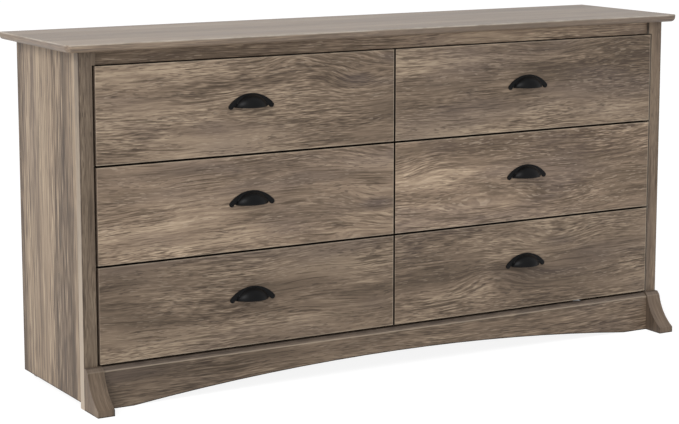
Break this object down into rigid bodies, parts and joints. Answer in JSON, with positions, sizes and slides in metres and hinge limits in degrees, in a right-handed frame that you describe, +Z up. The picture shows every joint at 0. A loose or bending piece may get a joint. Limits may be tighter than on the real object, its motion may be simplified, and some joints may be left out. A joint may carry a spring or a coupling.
{
  "type": "double dresser",
  "caption": "Wide low chest with side-by-side columns of sliding drawers, cup pulls, flared front feet and an arched kick board.",
  "frame": {"origin": "on the floor under the middle of the dresser's bounding box", "axes": "+Z up, +X to the right of somebody facing the drawers, -Y out of the drawer fronts"},
  "size_m": [1.499, 0.406, 0.73],
  "materials": {
    "wood_laminate": "matte",
    "raw_board": "raw",
    "drawer_board": "matte",
    "drawer_hardboard": "matte",
    "hardboard": "matte",
    "zinc_plated_steel": "satin",
    "zinc_alloy": "satin",
    "nylon": "matte",
    "black_metal": "satin"
  },
  "bodies": {
    "case": {"top_panel": "wood_laminate", "left_side_panel": "wood_laminate", "right_side_panel": "wood_laminate", "left_front_post": "wood_laminate", "right_front_post": "wood_laminate", "left_bracket_foot": "wood_laminate", "right_bracket_foot": "wood_laminate", "arched_kick_board": "wood_laminate", "top_front_rail": "wood_laminate", "centre_partition": "wood_laminate", "back_panel": "hardboard", "rear_top_rail": "wood_laminate", "rear_bottom_rail": "wood_laminate", "runner_packers": "raw_board", "runner_tracks": "zinc_plated_steel", "cam_fittings": "zinc_alloy", "case_screws": "zinc_plated_steel", "back_panel_nails": "zinc_plated_steel"},
    "lower_left_drawer": {"lower_left_front": "wood_laminate", "lower_left_sides": "drawer_board", "lower_left_back": "drawer_board", "lower_left_bottom": "drawer_hardboard", "lower_left_runners": "nylon", "lower_left_cup_pull": "black_metal", "lower_left_fasteners": "zinc_plated_steel"},
    "lower_right_drawer": {"lower_right_front": "wood_laminate", "lower_right_sides": "drawer_board", "lower_right_back": "drawer_board", "lower_right_bottom": "drawer_hardboard", "lower_right_runners": "nylon", "lower_right_cup_pull": "black_metal", "lower_right_fasteners": "zinc_plated_steel"},
    "middle_left_drawer": {"middle_left_front": "wood_laminate", "middle_left_sides": "drawer_board", "middle_left_back": "drawer_board", "middle_left_bottom": "drawer_hardboard", "middle_left_runners": "nylon", "middle_left_cup_pull": "black_metal", "middle_left_fasteners": "zinc_plated_steel"},
    "middle_right_drawer": {"middle_right_front": "wood_laminate", "middle_right_sides": "drawer_board", "middle_right_back": "drawer_board", "middle_right_bottom": "drawer_hardboard", "middle_right_runners": "nylon", "middle_right_cup_pull": "black_metal", "middle_right_fasteners": "zinc_plated_steel"},
    "upper_left_drawer": {"upper_left_front": "wood_laminate", "upper_left_sides": "drawer_board", "upper_left_back": "drawer_board", "upper_left_bottom": "drawer_hardboard", "upper_left_runners": "nylon", "upper_left_cup_pull": "black_metal", "upper_left_fasteners": "zinc_plated_steel"},
    "upper_right_drawer": {"upper_right_front": "wood_laminate", "upper_right_sides": "drawer_board", "upper_right_back": "drawer_board", "upper_right_bottom": "drawer_hardboard", "upper_right_runners": "nylon", "upper_right_cup_pull": "black_metal", "upper_right_fasteners": "zinc_plated_steel"}
  },
  "joints": [
    {"name": "lower_left_drawer_slide", "type": "slide", "parent": "case", "child": "lower_left_drawer", "axis": [0, -1, 0], "range_m": [0, 0.2]},
    {"name": "lower_right_drawer_slide", "type": "slide", "parent": "case", "child": "lower_right_drawer", "axis": [0, -1, 0], "range_m": [0, 0.2]},
    {"name": "middle_left_drawer_slide", "type": "slide", "parent": "case", "child": "middle_left_drawer", "axis": [0, -1, 0], "range_m": [0, 0.2]},
    {"name": "middle_right_drawer_slide", "type": "slide", "parent": "case", "child": "middle_right_drawer", "axis": [0, -1, 0], "range_m": [0, 0.2]},
    {"name": "upper_left_drawer_slide", "type": "slide", "parent": "case", "child": "upper_left_drawer", "axis": [0, -1, 0], "range_m": [0, 0.2]},
    {"name": "upper_right_drawer_slide", "type": "slide", "parent": "case", "child": "upper_right_drawer", "axis": [0, -1, 0], "range_m": [0, 0.2]}
  ]
}
